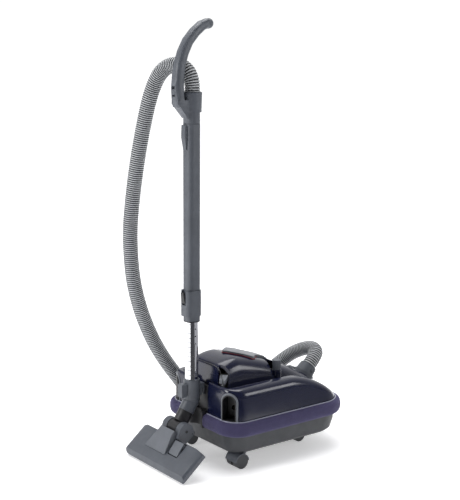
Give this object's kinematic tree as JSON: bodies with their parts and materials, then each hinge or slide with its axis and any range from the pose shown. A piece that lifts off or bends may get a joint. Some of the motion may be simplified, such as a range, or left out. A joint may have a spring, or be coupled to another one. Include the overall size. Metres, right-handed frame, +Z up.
{
  "type": "canister vacuum cleaner",
  "caption": "Bagged canister vacuum cleaner with a wrap-around textile bumper, castors, looping hose, telescopic wand parked at the rear and a tilting floor head.",
  "frame": {"origin": "on the floor under the middle of the machine's bounding box, measured without the free hose", "axes": "+Z up; +Y towards the canister's front, where the hose enters; +X towards the power pedal's side; the wand is parked at -Y"},
  "size_m": [0.378, 0.5956, 1.1546],
  "materials": {
    "navy_shell": "gloss",
    "dark_tub": "fine grain",
    "bumper_cloth": "woven",
    "grey_plastic": "fine grain",
    "mid_grey_plastic": "fine grain",
    "light_grey_plastic": "fine grain",
    "black_plastic": "matte",
    "hose_grey": "corrugated",
    "chrome": "polished",
    "steel": "brushed",
    "castor_tyre": "matte",
    "black_rubber": "matte",
    "bristle": "brush",
    "paper_bag": "fleece",
    "filter_fleece": "fleece",
    "cream_plastic": "matte",
    "board_green": "satin"
  },
  "bodies": {
    "canister": {"lower_tub": "dark_tub", "bumper": "bumper_cloth", "upper_shell": "navy_shell", "dome_cover": "navy_shell", "park_bracket": "black_plastic", "arch_trims": "mid_grey_plastic", "cord_outlet_pocket": "black_plastic", "exhaust_grille": "black_plastic", "inlet_collar": "grey_plastic", "motor_housing": "cream_plastic", "motor_stator": "steel", "motor_seal": "black_rubber", "dust_bag": "paper_bag", "bag_holder": "cream_plastic", "premotor_filter": "filter_fleece", "exhaust_filter": "filter_fleece", "reel_axle": "steel", "control_board": "board_green", "pedal_springs": "steel", "knob_pillar": "navy_shell", "hinge_pins": "steel", "hose": "hose_grey"},
    "motor_rotor": {"motor_fan": "steel"},
    "cord_reel": {"reel_drum": "cream_plastic"},
    "power_pedal": {"power_pedal": "light_grey_plastic"},
    "rewind_pedal": {"rewind_pedal": "light_grey_plastic"},
    "suction_knob": {"suction_knob": "grey_plastic"},
    "carry_handle": {"carry_handle": "mid_grey_plastic"},
    "bag_lid": {"bag_lid": "navy_shell"},
    "lid_latch": {"lid_latch": "grey_plastic"},
    "hose_cuff": {"hose_cuff": "grey_plastic"},
    "castor_rl": {"castor_hood_rl": "grey_plastic"},
    "wheels_rl": {"castor_wheels_rl": "castor_tyre"},
    "castor_rr": {"castor_hood_rr": "grey_plastic"},
    "wheels_rr": {"castor_wheels_rr": "castor_tyre"},
    "castor_fl": {"castor_hood_fl": "grey_plastic"},
    "wheels_fl": {"castor_wheels_fl": "castor_tyre"},
    "castor_fr": {"castor_hood_fr": "grey_plastic"},
    "wheels_fr": {"castor_wheels_fr": "castor_tyre"},
    "wand_lower": {"chrome_tube": "chrome", "neck_socket": "grey_plastic", "elbow": "grey_plastic"},
    "neck_latch": {"neck_latch": "grey_plastic"},
    "wand_upper": {"upper_tube": "grey_plastic", "clip_housing": "grey_plastic", "tube_bushing": "black_plastic", "handle_body": "grey_plastic"},
    "clip_button": {"clip_button": "black_plastic"},
    "wand_latch": {"wand_latch": "grey_plastic"},
    "relief_slider": {"relief_slider": "mid_grey_plastic"},
    "hose_sleeve": {"hose_sleeve": "black_plastic"},
    "neck": {"swivel_arm": "black_plastic"},
    "floor_head": {"head_body": "grey_plastic", "head_spine": "mid_grey_plastic", "sole_plate": "steel", "head_pins": "steel"},
    "brushes": {"brush_strips": "bristle"},
    "rocker_pedal": {"rocker_pedal": "mid_grey_plastic"},
    "roller_left": {"head_roller_left": "black_rubber"},
    "roller_right": {"head_roller_right": "black_rubber"}
  },
  "joints": [
    {"name": "castor_swivel_rl", "type": "hinge", "parent": "canister", "child": "castor_rl", "pos_m": [-0.112, -0.075, 0.05], "axis": [0, 0, 1], "continuous": true},
    {"name": "wheel_roll_rl", "type": "hinge", "parent": "castor_rl", "child": "wheels_rl", "pos_m": [-0.112, -0.084, 0.019], "axis": [1, 0, 0], "continuous": true},
    {"name": "castor_swivel_rr", "type": "hinge", "parent": "canister", "child": "castor_rr", "pos_m": [0.112, -0.075, 0.05], "axis": [0, 0, 1], "continuous": true},
    {"name": "wheel_roll_rr", "type": "hinge", "parent": "castor_rr", "child": "wheels_rr", "pos_m": [0.112, -0.084, 0.019], "axis": [1, 0, 0], "continuous": true},
    {"name": "castor_swivel_fl", "type": "hinge", "parent": "canister", "child": "castor_fl", "pos_m": [-0.045, 0.179, 0.05], "axis": [0, 0, 1], "continuous": true},
    {"name": "wheel_roll_fl", "type": "hinge", "parent": "castor_fl", "child": "wheels_fl", "pos_m": [-0.045, 0.17, 0.019], "axis": [1, 0, 0], "continuous": true},
    {"name": "castor_swivel_fr", "type": "hinge", "parent": "canister", "child": "castor_fr", "pos_m": [0.045, 0.179, 0.05], "axis": [0, 0, 1], "continuous": true},
    {"name": "wheel_roll_fr", "type": "hinge", "parent": "castor_fr", "child": "wheels_fr", "pos_m": [0.045, 0.17, 0.019], "axis": [1, 0, 0], "continuous": true},
    {"name": "motor_spin", "type": "hinge", "parent": "canister", "child": "motor_rotor", "pos_m": [-0.044, 0.011, 0.106], "axis": [0, 1, 0], "continuous": true},
    {"name": "reel_spin", "type": "hinge", "parent": "canister", "child": "cord_reel", "pos_m": [0.08, -0.027, 0.11], "axis": [1, 0, 0], "continuous": true},
    {"name": "power_press", "type": "slide", "parent": "canister", "child": "power_pedal", "axis": [0, 0, -1], "range_m": [0, 0.006], "stiffness_N_per_m": 600, "springref_m": -0.002},
    {"name": "rewind_press", "type": "slide", "parent": "canister", "child": "rewind_pedal", "axis": [0, 0, -1], "range_m": [0, 0.006], "stiffness_N_per_m": 600, "springref_m": -0.002},
    {"name": "suction_turn", "type": "hinge", "parent": "canister", "child": "suction_knob", "pos_m": [0.074, 0.077, 0.24], "axis": [0, 0, 1], "range_deg": [-135, 135]},
    {"name": "carry_handle_lift", "type": "hinge", "parent": "canister", "child": "carry_handle", "pos_m": [0, 0.077, 0.241], "axis": [-1, 0, 0], "range_deg": [0, 60]},
    {"name": "bag_lid_open", "type": "hinge", "parent": "canister", "child": "bag_lid", "pos_m": [0, 0.098, 0.226], "axis": [1, 0, 0], "range_deg": [0, 65]},
    {"name": "lid_latch_press", "type": "slide", "parent": "bag_lid", "child": "lid_latch", "axis": [0, 0, -1], "range_m": [0, 0.003], "stiffness_N_per_m": 400, "springref_m": -0.001},
    {"name": "hose_cuff_swivel", "type": "hinge", "parent": "canister", "child": "hose_cuff", "pos_m": [0, 0.235, 0.166], "axis": [0, 0.6691, 0.7431], "continuous": true},
    {"name": "wand_lift", "type": "slide", "parent": "canister", "child": "wand_lower", "axis": [0, 0, 1], "range_m": [0, 0.07]},
    {"name": "wand_telescope", "type": "slide", "parent": "canister", "child": "wand_upper", "axis": [0, 0, 1], "range_m": [-0.08, 0.25], "deforming": ["hose"]},
    {"name": "neck_latch_press", "type": "slide", "parent": "wand_lower", "child": "neck_latch", "axis": [0, 0, -1], "range_m": [0, 0.004], "stiffness_N_per_m": 400, "springref_m": -0.001},
    {"name": "clip_slide", "type": "slide", "parent": "wand_upper", "child": "clip_button", "axis": [0, 0, -1], "range_m": [0, 0.004], "stiffness_N_per_m": 400, "springref_m": -0.001},
    {"name": "wand_latch_slide", "type": "slide", "parent": "wand_upper", "child": "wand_latch", "axis": [0, 0, -1], "range_m": [0, 0.003], "stiffness_N_per_m": 400, "springref_m": -0.001},
    {"name": "relief_slide", "type": "slide", "parent": "wand_upper", "child": "relief_slider", "axis": [0, 0, 1], "range_m": [0, 0.007]},
    {"name": "hose_swivel", "type": "hinge", "parent": "wand_upper", "child": "hose_sleeve", "pos_m": [0, -0.15, 0.95], "axis": [0, 0, 1], "continuous": true},
    {"name": "head_swivel", "type": "hinge", "parent": "wand_lower", "child": "neck", "pos_m": [0, -0.151, 0.168], "axis": [0, 0.5446, 0.8387], "range_deg": [-15, 15]},
    {"name": "head_tilt", "type": "hinge", "parent": "neck", "child": "floor_head", "pos_m": [0, -0.19596, 0.09813], "axis": [1, 0, 0], "range_deg": [-35, 20]},
    {"name": "rocker_tip", "type": "hinge", "parent": "floor_head", "child": "rocker_pedal", "pos_m": [0.054, -0.23379, 0.05921], "axis": [1, 0, 0], "range_deg": [0, 8]},
    {"name": "brush_drop", "type": "slide", "parent": "floor_head", "child": "brushes", "axis": [0, 0.6428, -0.766], "range_m": [0, 0.004]},
    {"name": "roller_left_roll", "type": "hinge", "parent": "floor_head", "child": "roller_left", "pos_m": [-0.031, -0.17762, 0.08872], "axis": [1, 0, 0], "continuous": true},
    {"name": "roller_right_roll", "type": "hinge", "parent": "floor_head", "child": "roller_right", "pos_m": [0.031, -0.17762, 0.08872], "axis": [1, 0, 0], "continuous": true}
  ],
  "couplings": [
    {"joint": "brush_drop", "follows": "rocker_tip", "m_per_rad": 0.0278}
  ]
}
